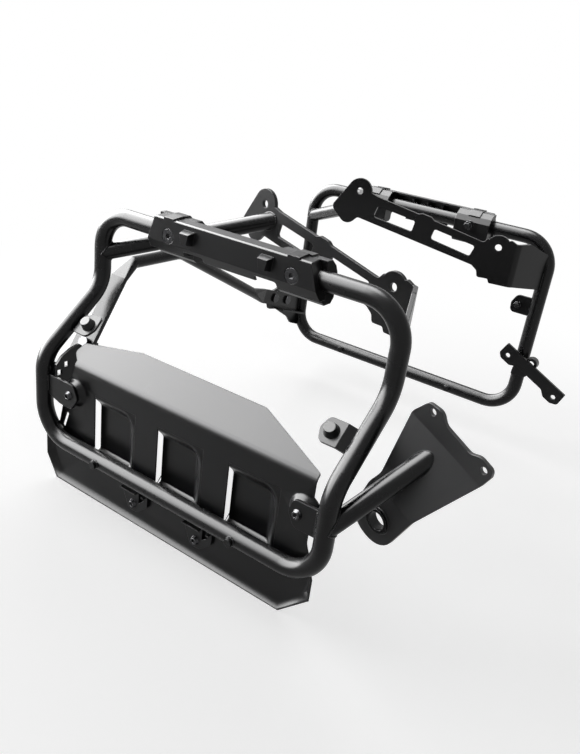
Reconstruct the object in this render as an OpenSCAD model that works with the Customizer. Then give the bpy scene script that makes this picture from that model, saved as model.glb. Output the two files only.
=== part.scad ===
// Pannier frames for a motorcycle: two bent-tube side frames joined by a cross-brace.
// Each side is written once, for the right-hand frame, and mirrored for the left.
// Side coordinates, in millimetres: x runs forward from the middle of the hoop, y runs
// inboard from the plane of the top bars, and z runs up from the bottom bar's centreline.
// The finished part is moved so that the right rear upper mounting hole is the origin.

/* [Hoops] */
// Distance between the centrelines of a hoop's two uprights
hoop_width = 362; // [300:1:440]
// Height from the bottom bar's centreline to the top bar's
hoop_height = 236; // [225:1:280]
// Outside diameter of the frame tube
tube_d = 18; // [16:0.5:20]
// Wall of the frame tube
tube_wall = 2; // [1.2:0.1:3]
// Centreline radius of every bend in a hoop
bend_r = 38; // [28:1:40]
// Distance between the planes of the two top bars
frame_gap = 418; // [380:1:480]
// How far the right hoop's lower half steps out past its top bar
joggle_out = 78; // [60:1:90]
// Height where the right hoop starts to step out
joggle_top_z = 156; // [150:1:160]
// Height where the right hoop is fully stepped out
joggle_low_z = 91; // [88:1:96]

/* [Hook pins] */
// Distance of a hook pin from the middle of the bottom bar
pin_x = 91; // [60:1:120]
// Diameter of a hook pin
pin_d = 8; // [5:0.5:9]
// How far a hook pin stands out of the tube on each side
pin_out = 4; // [2:0.5:8]

/* [Upper brackets] */
// Thickness of the bracket plate
plate_t = 4; // [3:0.5:6]
// Angle of the plate to the direction of travel, seen from above
plate_angle = 11.8; // [8:0.1:14]
// Diameter of the two upper mounting holes
mount_hole_d = 8.5; // [6.5:0.1:10.5]
// Distance of the rear mounting hole behind the middle of the hoop
rear_hole_back = 48.7; // [46:0.1:52]
// Distance of the rear mounting hole inboard of the top bar
rear_hole_in = 107.5; // [104:0.5:112]
// Height of the rear mounting hole above the top bar's centreline
rear_hole_up = 26.4; // [20:0.1:30]
// Distance along the plate from the rear mounting hole to the front one
hole_pitch = 186.2; // [182:0.1:190]
// Drop from the rear mounting hole to the front one
hole_drop = 35.1; // [33:0.1:37]
// Distance along the plate from the rear mounting hole to the fold
fold_at = 210; // [208:0.5:214]
// Inside radius of the fold
fold_r = 4; // [3:0.5:5]
// Height on the rear upright where the brace tube starts
brace_z = 191.2; // [186:0.1:195]

/* [Rail covers] */
// Length of the cover along its top edge
cover_len = 185; // [180:1:192]
// How much longer the cover is along its lower edge
cover_flare = 16; // [6:1:20]
// Distance from the tube's centreline out to the cover's front face
cover_depth = 15; // [13:0.5:18]
// Wall of the cover
cover_wall = 3; // [2:0.5:4]
// Distance of a clamp screw from the middle of the cover
screw_x = 73.6; // [70:0.1:76]
// Diameter of a clamp screw
screw_d = 6; // [5:0.5:8]
// Diameter of the recess round a screw head
recess_d = 15; // [13:0.5:18]
// Distance of a catch lug's middle from the middle of the cover
lug_x = 46.5; // [44:0.5:50]
// How far a catch lug stands out of the front face
lug_out = 8; // [5:0.5:10]
// Length of a clamp block along the tube
clamp_len = 48; // [40:1:50]

/* [Heat shield] */
// Thickness of the shield's sheet
shield_t = 1.5; // [1:0.1:2.5]
// Distance from the tube's centreline back to the shield's face
shield_back = 9.3; // [9.1:0.1:10]
// Height of the upper bend above the bottom bar's centreline
shield_bend_z = 89.5; // [86:0.5:94]
// Angle of the upper flange above the level
flange_angle = 40; // [35:1:45]
// Length of the upper flange, along its slope
flange_len = 41.5; // [36:0.5:46]
// Inside radius of the upper bend
shield_bend_r = 10; // [6:0.5:12]
// Distance from one louvre to the next
louvre_pitch = 90; // [86:0.5:94]
// Length of a louvre along the shield
louvre_w = 58; // [50:1:62]
// Depth of a louvre behind the shield's face
louvre_depth = 9.5; // [6:0.5:12]

/* [Support tube and foot plate] */
// Height on the front upright where the support tube starts
support_z = 56.5; // [54:0.5:62]
// Thickness of the foot plate
foot_t = 4; // [3:0.5:6]
// Diameter of the two holes in the foot plate's upper flange
foot_hole_d = 6.5; // [5.5:0.1:8.5]
// Distance between those two holes
foot_hole_pitch = 59.8; // [56:0.1:62]
// Inside diameter of the foot plate's ring
ring_bore_d = 18; // [14:0.5:20]

/* [Cross-brace] */
// Diameter of the cross-brace tube
cross_d = 14; // [12:0.5:16]
// Width of the cross-brace's flattened ends
strap_w = 21; // [18:0.5:24]
// Thickness of the cross-brace's flattened ends
strap_t = 5; // [4:0.5:6]
// Diameter of the bolts in the cross-brace's ends
brace_bolt_d = 8; // [6:0.5:8]
// Distance between the two bolts in each end of the cross-brace
brace_bolt_pitch = 34; // [30:0.5:36]

/* [Hidden] */
$fn = 64;
eps = 0.01;

tube_r = tube_d / 2;
half_w = hoop_width / 2;
paint = "#26272a";
plastic = "#202124";
zinc = "#4a4b4e";
rubber = "#111112";
FORWARD = [1, 0, 0];
INBOARD = [0, 1, 0];
UP = [0, 0, 1];

// Small vector helpers
function unit(v) = v / norm(v);
function clamp_unit(c) = min(1, max(-1, c));
function turn_angle(a, b) = acos(clamp_unit(a * b));
function setback(a, b, r) = r * tan(turn_angle(a, b) / 2);
// A polygon's corner as a round arc of radius r, between its neighbours p and q
function round_corner(p, v, q, r) =
    let (a = unit(v - p), b = unit(q - v), turn = turn_angle(a, b),
        side = a[0] * b[1] - a[1] * b[0] < 0 ? -1 : 1, n = max(2, round(turn / (r < 5 ? 22 : 12))),
        start = v - a * r * tan(turn / 2), c = start + r * side * [-a[1], a[0]])
    r < eps ? [v] : [for (i = [0:n])
        let (t = side * turn * i / n, d = start - c)
        c + [d[0] * cos(t) - d[1] * sin(t), d[0] * sin(t) + d[1] * cos(t)]];
// An outline of [x, y, corner radius] points as plain points
function rounded(pts) =
    let (n = len(pts), xy = [for (p = pts) [p[0], p[1]]])
    [for (i = [0:n - 1]) each round_corner(xy[(i + n - 1) % n], xy[i], xy[(i + 1) % n], pts[i][2])];

// Places children with their x and y axes along the given unit directions
module aligned(origin, x, y) {
    z = cross(x, y);
    multmatrix([[x[0], y[0], z[0], origin[0]],
                [x[1], y[1], z[1], origin[1]],
                [x[2], y[2], z[2], origin[2]]]) children();
}

// Places children at p with their z axis along the direction d
module pointing(p, d) {
    z = unit(d);
    x = unit(cross(abs(z[2]) < 0.9 ? UP : FORWARD, z));
    aligned(p, x, cross(z, x)) children();
}

module rod(p, q, r) {
    pointing(p, q - p) cylinder(h = norm(q - p), r = r);
}

module elbow(v, a, b, bend, r) {
    inward = unit(b - a * (a * b));
    centre = v - a * setback(a, b, bend) + inward * bend;
    aligned(centre, -inward, a)
        rotate_extrude(angle = turn_angle(a, b)) translate([bend, 0]) circle(r = r);
}

// A straight length between two bends: a hair thicker, and a little over each bend's end.
// Folded sheets meet their bends in the same way.
lap = 0.3;
hair = 0.02;
module straight(v, w, from_v, from_w, r) {
    b = unit(w - v);
    rod(v + b * (from_v - lap), w - b * (from_w - lap), r + hair);
}

// A closed run of round bar through the points, with every corner bent
module closed_run(points, bend, r) {
    n = len(points);
    for (i = [0:n - 1]) {
        v = points[i];
        w = points[(i + 1) % n];
        a = unit(v - points[(i + n - 1) % n]);
        b = unit(w - v);
        c = unit(points[(i + 2) % n] - w);
        elbow(v, a, b, bend, r);
        straight(v, w, setback(a, b, bend), setback(b, c, bend), r);
    }
}

module open_run(points, bend, r) {
    n = len(points);
    for (i = [0:n - 2]) {
        v = points[i];
        w = points[i + 1];
        b = unit(w - v);
        a = i == 0 ? b : unit(v - points[i - 1]);
        c = i == n - 2 ? b : unit(points[i + 2] - w);
        straight(v, w, setback(a, b, bend), setback(b, c, bend), r);
        if (i > 0) elbow(v, a, b, bend, r);
    }
}

// A sheet of thickness t standing in the x-z plane, its outline in x and z
module upright_sheet(outline, t) {
    rotate([90, 0, 0]) translate([0, 0, -t / 2]) linear_extrude(t) polygon(outline);
}

// Places a part in the finished frame
rear_hole = [-rear_hole_back, rear_hole_in, hoop_height + rear_hole_up];
origin = [rear_hole[0], rear_hole[1] - frame_gap / 2, rear_hole[2]];
module right_side() {
    translate([0, -frame_gap / 2, 0] - origin) children();
}
module left_side() {
    translate(-origin) mirror([0, 1, 0]) translate([0, -frame_gap / 2, 0]) children();
}

// Hoops
right_path = [[half_w, -joggle_out, 0], [half_w, -joggle_out, joggle_low_z],
    [half_w, 0, joggle_top_z], [half_w, 0, hoop_height],
    [-half_w, 0, hoop_height], [-half_w, 0, joggle_top_z],
    [-half_w, -joggle_out, joggle_low_z], [-half_w, -joggle_out, 0]];
left_path = [[half_w, 0, 0], [half_w, 0, hoop_height],
    [-half_w, 0, hoop_height], [-half_w, 0, 0]];

module hoop(path, bottom_y) {
    color(paint) difference() {
        closed_run(path, bend_r, tube_r);
        closed_run(path, bend_r, tube_r - tube_wall);
        hook_pin_pair(bottom_y, pin_out);
        clamp_bolt_pair(screw_d / 2 + 0.25);
    }
}

// Pins across the bottom bar, which the pannier's lower hooks catch. On the right they end
// flush inboard, where the heat shield lies close behind the bar.
module hook_pin_pair(bottom_y, inboard_out) {
    for (x = [-pin_x, pin_x])
        translate([x, bottom_y - tube_r - pin_out, 0]) rotate([-90, 0, 0])
            cylinder(h = pin_out + tube_d + inboard_out, d = pin_d);
}
module hook_pins(bottom_y, inboard_out) {
    color(paint) hook_pin_pair(bottom_y, inboard_out);
}

// Upper bracket: a plate with two mounting ears, folded out to the front upright
fold_mid_r = fold_r + plate_t / 2;
fold_corner = rear_hole + fold_at * [cos(plate_angle), -sin(plate_angle), 0];
arm_vector = [half_w, 0, 0] - [fold_corner[0], fold_corner[1], 0];
arm_angle = -atan2(arm_vector[1], arm_vector[0]);
fold_turn = arm_angle - plate_angle;
fold_setback = fold_mid_r * tan(fold_turn / 2);
arm_len = norm(arm_vector) - fold_setback;
fold_top = -27;
fold_low = -80.5;
ear_r = 16;
front_ear_r = 15;
bracket_outline = rounded([[-13.6, 8.4, 0], [-35.5, -25, 7], [-22.5, -38, 0], [-3, -38.5, 0],
    [2, -33.4, 5], [159, -62.5, 6], [166.5, -68, 5], [168.5, -76, 3], [182, -75.5, 2],
    [184.5, -80.5, 2], [fold_at - fold_setback + lap, fold_low, 0],
    [fold_at - fold_setback + lap, fold_top, 0], [199.5, -23.4, 3], [hole_pitch, -hole_drop, 0],
    [172, -26.5, 0], [167, -32.2, 4], [102, -18.6, 2], [98, -15.2, 2], [86, -12.8, 2],
    [81, -14.3, 2], [25, -3.2, 8], [16, 0, 0]]);
rear_window = rounded([[27, -14.5, 3], [78.5, -23.5, 3], [76, -38, 3], [23, -29, 3]]);
front_window = rounded([[104.5, -28.5, 3], [158.5, -39, 3], [153.5, -53, 3], [101.5, -42, 3]]);
arm_outline = rounded([[-lap, fold_top, 0], [18, fold_top, 8], [arm_len, -45.5, 0],
    [arm_len, -89, 0], [22, -83.5, 8], [-lap, fold_low, 0]]);

module bracket_hole(x, z, d) {
    translate([x, 0, z]) rotate([90, 0, 0]) translate([0, 0, -plate_t]) cylinder(h = 2 * plate_t, d = d);
}

module bracket_plate() {
    difference() {
        union() {
            upright_sheet(bracket_outline, plate_t);
            rotate([90, 0, 0]) translate([0, 0, -plate_t / 2]) cylinder(h = plate_t, r = ear_r);
            translate([-12.3, 0, -31]) rotate([90, 0, 0])
                translate([0, 0, -plate_t / 2]) cylinder(h = plate_t, r = 12);
            translate([hole_pitch, 0, -hole_drop]) rotate([90, 0, 0])
                translate([0, 0, -plate_t / 2]) cylinder(h = plate_t, r = front_ear_r);
        }
        upright_sheet(rear_window, 2 * plate_t);
        upright_sheet(front_window, 2 * plate_t);
        bracket_hole(0, 0, mount_hole_d);
        bracket_hole(hole_pitch, -hole_drop, mount_hole_d);
    }
}

module bracket_fold() {
    translate([fold_at - fold_setback, -fold_mid_r, 0]) rotate([0, 0, 90 - fold_turn])
        rotate_extrude(angle = fold_turn)
            translate([fold_r + hair, fold_low + hair])
                square([plate_t - 2 * hair, fold_top - fold_low - 2 * hair]);
}

module bracket_arm() {
    translate([fold_at - fold_setback, -fold_mid_r, 0]) rotate([0, 0, -fold_turn])
        translate([0, fold_mid_r, 0]) upright_sheet(arm_outline, plate_t);
}

module upper_bracket() {
    color(paint) difference() {
        translate(rear_hole) rotate([0, 0, -plate_angle]) union() {
            bracket_plate();
            bracket_fold();
            bracket_arm();
        }
        closed_run(left_path, bend_r, tube_r);
    }
}

// Brace tube from the rear upright to the bracket's outboard face
brace_start = [-half_w, 0, brace_z];
brace_target = rear_hole + [10.1 * cos(plate_angle), -10.1 * sin(plate_angle), -15.8];
brace_dir = unit(brace_target - brace_start);
module brace_tube() {
    color(paint) difference() {
        rod(brace_start, brace_target + brace_dir * tube_d, tube_r);
        rod(brace_start + brace_dir * eps, brace_target + brace_dir * 2 * tube_d, tube_r - tube_wall);
        closed_run(left_path, bend_r, tube_r);
        translate(rear_hole) rotate([0, 0, -plate_angle])
            translate([-200, -plate_t / 2, -200]) cube([400, 200, 400]);
    }
}

// Rail cover: a moulded shell clipped over the outboard side of the top bar
cover_top = 15.5;
cover_face_low = -7.5;
cover_low = -17;
cover_lip = 8.5;
cover_rear_top = 17.3;
cover_half = cover_len / 2;
screw_pad_w = 13;
screw_pad_h = 2.2;
saddle_inner = cover_half + cover_flare / 2 - clamp_len - 2;
notch_top = -11.5;
notch_from = 31;
notch_to = 56;
shell_seat = 0.05;

cover_section = [[-cover_depth, cover_top], [-cover_depth, cover_face_low],
    [-cover_lip, cover_low], [0, cover_low], [0, cover_rear_top], [-cover_depth + 2, cover_top + 1]];
cover_hollow = [[-cover_depth + cover_wall, cover_top - cover_wall + 1],
    [-cover_depth + cover_wall, cover_face_low + 1],
    [-cover_lip + cover_wall, cover_low - eps], [1, cover_low - eps],
    [1, cover_rear_top - cover_wall]];

// A section in y and z, extruded along x between two places
module along_x(from, to, section) {
    aligned([from, 0, hoop_height], INBOARD, UP) linear_extrude(to - from) polygon(section);
}

module cover_end(side) {
    end_x = cover_half + cover_flare / 2;
    aligned([0, -50, hoop_height], FORWARD, UP) translate([0, 0, -100]) linear_extrude(200)
        polygon([[side * cover_half, cover_top], [side * end_x, cover_face_low],
            [side * (end_x + 3), cover_low - 5], [side * (end_x + 30), cover_low - 5],
            [side * (end_x + 30), cover_top + 10], [side * (cover_half - 4), cover_top + 10]]);
}

module catch_lug(x) {
    translate([x, -cover_depth + eps, hoop_height]) rotate([90, 0, 0]) hull() {
        linear_extrude(eps) polygon([[-7, 11], [7, 11], [5, -2.5], [-5, -2.5]]);
        translate([0, 0, lug_out]) linear_extrude(eps) polygon([[-5.5, 9], [5.5, 9], [3.5, -1], [-3.5, -1]]);
    }
}

module clamp_bolt_pair(r) {
    for (x = [-screw_x, screw_x])
        translate([x, -30, hoop_height]) rotate([-90, 0, 0]) cylinder(h = 60, r = r);
}

module rail_cover() {
    long = cover_half + cover_flare;
    color(plastic) difference() {
        union() {
            difference() {
                union() {
                    along_x(-long, long, cover_section);
                    for (x = [-screw_x, screw_x])
                        along_x(x - screw_pad_w / 2, x + screw_pad_w / 2,
                            [[-cover_depth, cover_top - 2], [-cover_depth, cover_top + screw_pad_h],
                             [0, cover_rear_top + screw_pad_h], [0, cover_rear_top - 2]]);
                }
                along_x(-saddle_inner, saddle_inner, cover_hollow);
                for (s = [-1, 1]) cover_end(s);
            }
            for (x = [-1, 0, 1])
                along_x(x * 22 - cover_wall / 2, x * 22 + cover_wall / 2,
                    [[-cover_depth + 1, cover_top - 1], [-cover_depth + 1, cover_face_low],
                     [-cover_lip + 1, cover_low + 1], [-2, cover_low + 1], [-2, cover_rear_top - 1]]);
            for (x = [-lug_x, lug_x]) catch_lug(x);
        }
        for (s = [-1, 1])
            aligned([0, -50, hoop_height], FORWARD, UP) translate([0, 0, -100]) linear_extrude(200)
                polygon(rounded([[s * notch_from, cover_low - 5, 0], [s * notch_from, notch_top, 2],
                    [s * notch_to, notch_top, 2], [s * notch_to, cover_low - 5, 0]]));
        rod([-long, 0, hoop_height], [long, 0, hoop_height], tube_r + shell_seat);
        clamp_bolt_pair(screw_d / 2 + 0.25);
        for (x = [-screw_x, screw_x])
            translate([x, -cover_depth, hoop_height]) rotate([-90, 0, 0])
                translate([0, 0, -1]) cylinder(h = 3.5, d = recess_d);
    }
}

// Clamp block behind the top bar
clamp_in = 19.5;
clamp_section = [[0.4, 17.3], [8.5, 17.3], [15.5, 11.5], [clamp_in, 4.5],
    [clamp_in, -19], [15, -24], [4, -24], [0.4, -21]];
module clamp_block(side) {
    from = side > 0 ? saddle_inner + 1 : -saddle_inner - 1 - clamp_len;
    color(plastic) difference() {
        union() {
            along_x(from, from + clamp_len, clamp_section);
            along_x(from + clamp_len / 3, from + 2 * clamp_len / 3,
                [[0.4, 16], [0.4, 18.8], [9.2, 18.8], [16.7, 12.4], [15.5, 10]]);
        }
        rod([from - 1, 0, hoop_height], [from + clamp_len + 1, 0, hoop_height], tube_r + shell_seat);
        clamp_bolt_pair(screw_d / 2 + 0.25);
    }
}

// Screws through cover, tube and clamp, with a washer and a nut behind
washer_t = 1.6;
nut_h = 5;
head_h = 2.4;
module clamp_screws() {
    color(zinc) for (x = [-screw_x, screw_x])
        translate([x, -cover_depth + 2.5 - head_h, hoop_height]) rotate([-90, 0, 0]) difference() {
            union() {
                cylinder(h = head_h, d = recess_d - 1);
                cylinder(h = cover_depth + clamp_in + washer_t + nut_h + 2, d = screw_d);
            }
            translate([0, 0, -1]) cylinder(h = head_h + 0.6, d = 5.8, $fn = 6);
        }
}
module clamp_washers() {
    color(zinc) for (x = [-screw_x, screw_x])
        translate([x, clamp_in, hoop_height]) rotate([-90, 0, 0]) difference() {
            cylinder(h = washer_t, d = 2.1 * screw_d);
            translate([0, 0, -1]) cylinder(h = washer_t + 2, d = screw_d + 0.4);
        }
}
module clamp_nuts() {
    color(zinc) for (x = [-screw_x, screw_x])
        translate([x, clamp_in + washer_t, hoop_height]) rotate([-90, 0, 0]) difference() {
            cylinder(h = nut_h, d = 11.5, $fn = 6);
            translate([0, 0, -1]) cylinder(h = nut_h + 2, d = screw_d);
        }
}

// Heat shield: a bent sheet behind the right hoop's lower half
shield_y = -joggle_out + shield_back;
bend_from = -145;
bend_to = 160;
flange_turn = 90 - flange_angle;
shield_mid_r = shield_bend_r + shield_t / 2;
flange_start = shield_mid_r * tan(flange_turn / 2);
face_outline = rounded([[-164, -50, 0], [142, -50, 0], [169, -24, 10], [169, 2, 14], [160, 24, 14],
    [bend_to, shield_bend_z - flange_start + lap, 0], [bend_from, shield_bend_z - flange_start + lap, 0],
    [-152, 58, 10], [-163, 36, 6], [-168, 15, 6], [-176, 4, 6], [-177, -28, 4]]);
side_slot = rounded([[-156.5, 30, 1.5], [-152.8, 29, 1.5], [-160, 9, 1.5], [-163.5, 11, 1.5]]);
flange_outline = rounded([[bend_from, flange_start - lap, 0], [-155, 13, 6], [-151, 26, 6], [-78, flange_len, 6],
    [80, flange_len, 8], [bend_to, flange_start + 2, 3], [bend_to, flange_start - lap, 0]]);
lip_out = 6;
lip_bend = [[-177, 8], [-177, -28], [-164, -50], [142, -50], [169, -24], [169, 0]];
lip_edge = [[-183, 8], [-183, -30.5], [-167, -56], [144.5, -56], [175, -26.5], [175, 0]];
screw_spots = [[-140.5, 58.3], [152.4, 57.5]];
low_spots = [[-48.5, -34.5], [38.5, -35]];
boss_out = shield_back - 1.6;
louvre_top = 65;
louvre_low = -4;
louvre_slope = 11;

module lip_solid(grow, lift) {
    hull() {
        translate([0, shield_y + shield_t + lift, 0]) rotate([90, 0, 0])
            linear_extrude(eps) offset_points(lip_bend, grow);
        translate([0, shield_y - lip_out + lift, 0]) rotate([90, 0, 0])
            linear_extrude(eps) offset_points(lip_edge, grow);
    }
}
// The lip's outline, moved down and outwards by a small amount
module offset_points(outline, grow) {
    polygon([for (p = outline) [p[0] + (p[0] < 0 ? -grow : grow), p[1] - grow]]);
}

module shield_lip() {
    difference() {
        lip_solid(0, 0);
        lip_solid(-shield_t, -eps);
        translate([0, shield_y - lip_out - 1, 0]) rotate([90, 0, 0])
            translate([0, 0, -1]) linear_extrude(4) offset_points(lip_edge, -shield_t * 1.2);
        translate([-400, shield_y - 60, -3]) cube([800, 120, 60]);
    }
}

// One louvre: a panel pressed back from the face, open along its left side
module louvre_volume(t) {
    intersection() {
        translate([0, 0, louvre_low - 20]) linear_extrude(120)
            polygon([[-t * 10, -eps - t * 4], [-t * 10, louvre_depth - t],
                [louvre_w - louvre_slope - t * 0.6, louvre_depth - t], [louvre_w - t * 1.4, -eps],
                [louvre_w - t * 1.4, -eps - t * 4]]);
        aligned([-200, 0, 0], INBOARD, UP) linear_extrude(500)
            polygon([[-eps - t * 4, louvre_top - t * 1.4], [-eps, louvre_top - t * 1.4],
                [louvre_depth - t, louvre_top - louvre_slope - t * 0.6],
                [louvre_depth - t, louvre_low + louvre_slope + t * 0.6],
                [-eps, louvre_low + t * 1.4], [-eps - t * 4, louvre_low + t * 1.4]]);
    }
}

module press_boss(spot) {
    translate([spot[0], shield_y + shield_t, spot[1]]) rotate([90, 0, 0]) difference() {
        cylinder(h = boss_out + shield_t, r1 = 17, r2 = 9);
        translate([0, 0, -eps]) cylinder(h = boss_out + eps, r1 = 17 - shield_t, r2 = 9 - shield_t);
    }
}

module heat_shield() {
    color(paint) difference() {
        union() {
            difference() {
                translate([0, shield_y + shield_t / 2, 0]) upright_sheet(face_outline, shield_t);
                for (i = [-1, 0, 1])
                    translate([i * louvre_pitch - 22.5, shield_y + eps, 0]) louvre_volume(0.01);
                for (spot = screw_spots)
                    translate([spot[0], shield_y + 3, spot[1]]) rotate([90, 0, 0]) cylinder(h = 6, r = 15.4);
            }
            shield_bend();
            aligned([0, shield_y + shield_t / 2, shield_bend_z], FORWARD,
                [0, cos(flange_angle), sin(flange_angle)])
                translate([0, 0, -shield_t / 2]) linear_extrude(shield_t) polygon(flange_outline);
            for (i = [-1, 0, 1])
                translate([i * louvre_pitch - 22.5, shield_y + shield_t, 0]) difference() {
                    louvre_volume(0);
                    louvre_volume(shield_t);
                }
            for (spot = screw_spots) press_boss(spot);
            shield_lip();
        }
        translate([0, shield_y, 0]) upright_sheet(side_slot, 10);
        for (spot = concat(screw_spots, low_spots))
            translate([spot[0], shield_y + 20, spot[1]]) rotate([90, 0, 0]) cylinder(h = 40, d = 6.4);
    }
}
// The upper bend, between the face and the flange
module shield_bend() {
    aligned([bend_to - hair, shield_y + shield_t / 2 + shield_mid_r, shield_bend_z - flange_start],
        -INBOARD, UP)
        rotate_extrude(angle = flange_turn)
            translate([shield_bend_r + hair, 0])
                square([shield_t - 2 * hair, bend_to - bend_from - 2 * hair]);
}

// Tabs that carry the shield
tab_t = 3;
tab_front = 1.5;
function tab_y() = -joggle_out - tab_front;
module shield_tab(outline, spot) {
    color(paint) difference() {
        translate([0, tab_y() + tab_t / 2, 0]) upright_sheet(outline, tab_t);
        translate([spot[0], tab_y() - 5, spot[1]]) rotate([-90, 0, 0]) cylinder(h = 20, d = 6.4);
        closed_run(right_path, bend_r, tube_r);
    }
}
upper_tab_outline = rounded([[-half_w, 72, 0], [-134, 72, 7], [-127, 58, 6], [-137, 43, 5],
    [-155, 44, 6], [-half_w, 52, 0]]);
front_tab_outline = rounded([[half_w, 71, 0], [147, 71, 6], [143, 57, 6], [150, 43.5, 6], [half_w, 43.5, 0]]);
function low_tab_outline(x) = rounded([[x - 14, 0, 0], [x - 14, -26, 5], [x - 6, -43, 5], [x + 6, -43, 5],
    [x + 20, -31, 4], [x + 20, 0, 0]]);
module low_tab(spot) {
    color(paint) difference() {
        union() {
            translate([0, shield_y - tab_t / 2 - 0.3, 0]) upright_sheet(low_tab_outline(spot[0]), tab_t);
            translate([spot[0] - 14, -joggle_out, -18]) cube([34, shield_back - 2, 14]);
        }
        closed_run(right_path, bend_r, tube_r);
        translate([spot[0] - 17, -joggle_out - 20, -17]) cube([40, 20 + shield_back - tab_t - 1, 12]);
        translate([spot[0], -joggle_out - 20, spot[1]]) rotate([-90, 0, 0]) cylinder(h = 60, d = 6.4);
        upright_hole_pair(spot[0]);
    }
}
// The slanted window beside each lower tab's screw
module upright_hole_pair(x) {
    translate([0, shield_y, 0]) upright_sheet([[x + 8, -14], [x + 17, -16], [x + 15, -25], [x + 8, -31]], 30);
}

screw_shank = 6;
module shield_screw(spot, head_y) {
    translate([spot[0], head_y, spot[1]]) rotate([-90, 0, 0]) difference() {
        union() {
            translate([0, 0, -3]) cylinder(h = 3, r1 = 3.6, r2 = 5.2);
            cylinder(h = shield_y + shield_t - head_y + 7, d = screw_shank);
        }
        translate([0, 0, -4]) cylinder(h = 3, d = 4.6, $fn = 6);
    }
}
module shield_screws() {
    color(zinc) {
        for (spot = screw_spots) shield_screw(spot, tab_y());
        for (spot = low_spots) shield_screw(spot, shield_y - tab_t - 0.3);
    }
}
module shield_nuts() {
    color(zinc) for (spot = concat(screw_spots, low_spots))
        translate([spot[0], shield_y + shield_t, spot[1]]) rotate([-90, 0, 0]) difference() {
            cylinder(h = 5, d = 11.5, $fn = 6);
            translate([0, 0, -1]) cylinder(h = 7, d = screw_shank);
        }
}

// Tabs and rubber studs that the pannier rests against
slope = unit([0, joggle_out, joggle_top_z - joggle_low_z]);
slope_out = [0, -slope[2], slope[1]];
slope_mid = 50;
function on_slope(x) = [x, -joggle_out, joggle_low_z] + slope * slope_mid;
stud_h = 8;
stud_base_r = 7.6;
stud_top_r = 5.3;
stud_hole_d = 6.4;
front_stud_x = 151;
rear_stud_x = -157;
left_stud = [157, 0, 147];
module sloped(x) {
    aligned(on_slope(x), FORWARD, slope) children();
}
module stud_tab_rear() {
    color(paint) difference() {
        sloped(rear_stud_x) translate([0, 0, -tab_t]) linear_extrude(tab_t)
            polygon(rounded([[-28, -12, 0], [6, -13, 7], [11, -2, 5], [9, 14, 5], [-4, 14, 5],
                [-8, 10, 0], [-28, 10, 0]]));
        closed_run(right_path, bend_r, tube_r);
        sloped(rear_stud_x) translate([0, 0, -10]) cylinder(h = 20, d = stud_hole_d);
    }
}
module stud_tab_front() {
    leg_from = 10.5;
    color(paint) difference() {
        sloped(front_stud_x) {
            translate([0, 0, -tab_t]) linear_extrude(tab_t)
                polygon(rounded([[leg_from, -12.5, 0], [leg_from, 12.5, 0], [-8, 12.5, 6], [-12, 0, 6],
                    [-7, -12.5, 6]]));
            aligned([leg_from, 0, 0], unit([1, 0, -0.45]), INBOARD)
                translate([0, -12.5, -tab_t]) cube([24, 25, tab_t]);
        }
        closed_run(right_path, bend_r, tube_r);
        sloped(front_stud_x) translate([0, 0, -10]) cylinder(h = 20, d = stud_hole_d);
    }
}
module stud_tab_left() {
    color(paint) difference() {
        upright_sheet(rounded([[half_w, 135, 0], [half_w, 159.5, 0], [153, 159.5, 7],
            [147, 148, 5], [148, 135, 6]]), tab_t);
        closed_run(left_path, bend_r, tube_r);
        translate(left_stud + [0, 10, 0]) rotate([90, 0, 0]) cylinder(h = 20, d = stud_hole_d);
    }
}
module rubber_stud() {
    color(rubber) difference() {
        union() {
            cylinder(h = stud_h, r1 = stud_base_r, r2 = stud_top_r);
            translate([0, 0, -tab_t - 5]) cylinder(h = tab_t + 5, d = screw_shank);
        }
    }
}
module stud_nut() {
    translate([0, 0, -tab_t - 4]) difference() {
        cylinder(h = 4, d = 10, $fn = 6);
        translate([0, 0, -1]) cylinder(h = 6, d = screw_shank);
    }
}
module left_stud_place() {
    aligned(left_stud - [0, tab_t / 2, 0], FORWARD, UP) children();
}

// Support tube from the front upright to the foot plate
foot_origin = [211.6, -19, 157.2];
foot_plan = 12;
foot_drop = 22.3;
foot_along = [cos(foot_plan) * cos(foot_drop), -sin(foot_plan) * cos(foot_drop), -sin(foot_drop)];
foot_out = [-sin(foot_plan), -cos(foot_plan), 0];
foot_up = cross(foot_out, foot_along);
foot_lean = 6;
foot_dip = 10;
foot_face = 71.2;
foot_upper = 40;
foot_lower = 75;
foot_bend = 6;
foot_slack = 20;
module foot_frame() {
    aligned(foot_origin, foot_along, foot_up) children();
}

// The folded sheet seen from its end: upwards, then outwards
foot_low_fold = foot_face * [-cos(foot_dip), sin(foot_dip)];
foot_path = [foot_upper * [cos(foot_lean), sin(foot_lean)], [0, 0], foot_low_fold,
    foot_low_fold - foot_lower * [cos(foot_lean), sin(foot_lean)]];
function left_of(d) = [-d[1], d[0]];
function sheet_side(path, i, t) =
    let (a = unit(path[max(i, 1)] - path[max(i, 1) - 1]),
        b = unit(path[min(i + 1, len(path) - 1)] - path[min(i, len(path) - 2)]),
        m = left_of(a) + left_of(b))
    path[i] + t * m / (1 + left_of(a) * left_of(b));
module foot_sheet() {
    front = [for (i = [0:3]) [foot_path[i][0], foot_path[i][1], i == 1 || i == 2 ? foot_bend : 0]];
    back = [for (i = [3:-1:0]) let (p = sheet_side(foot_path, i, foot_t))
        [p[0], p[1], i == 1 || i == 2 ? foot_bend : 0]];
    aligned([-foot_slack, 0, 0], INBOARD, UP) linear_extrude(100 + 2 * foot_slack)
        polygon(rounded(concat(front, back)));
}

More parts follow.
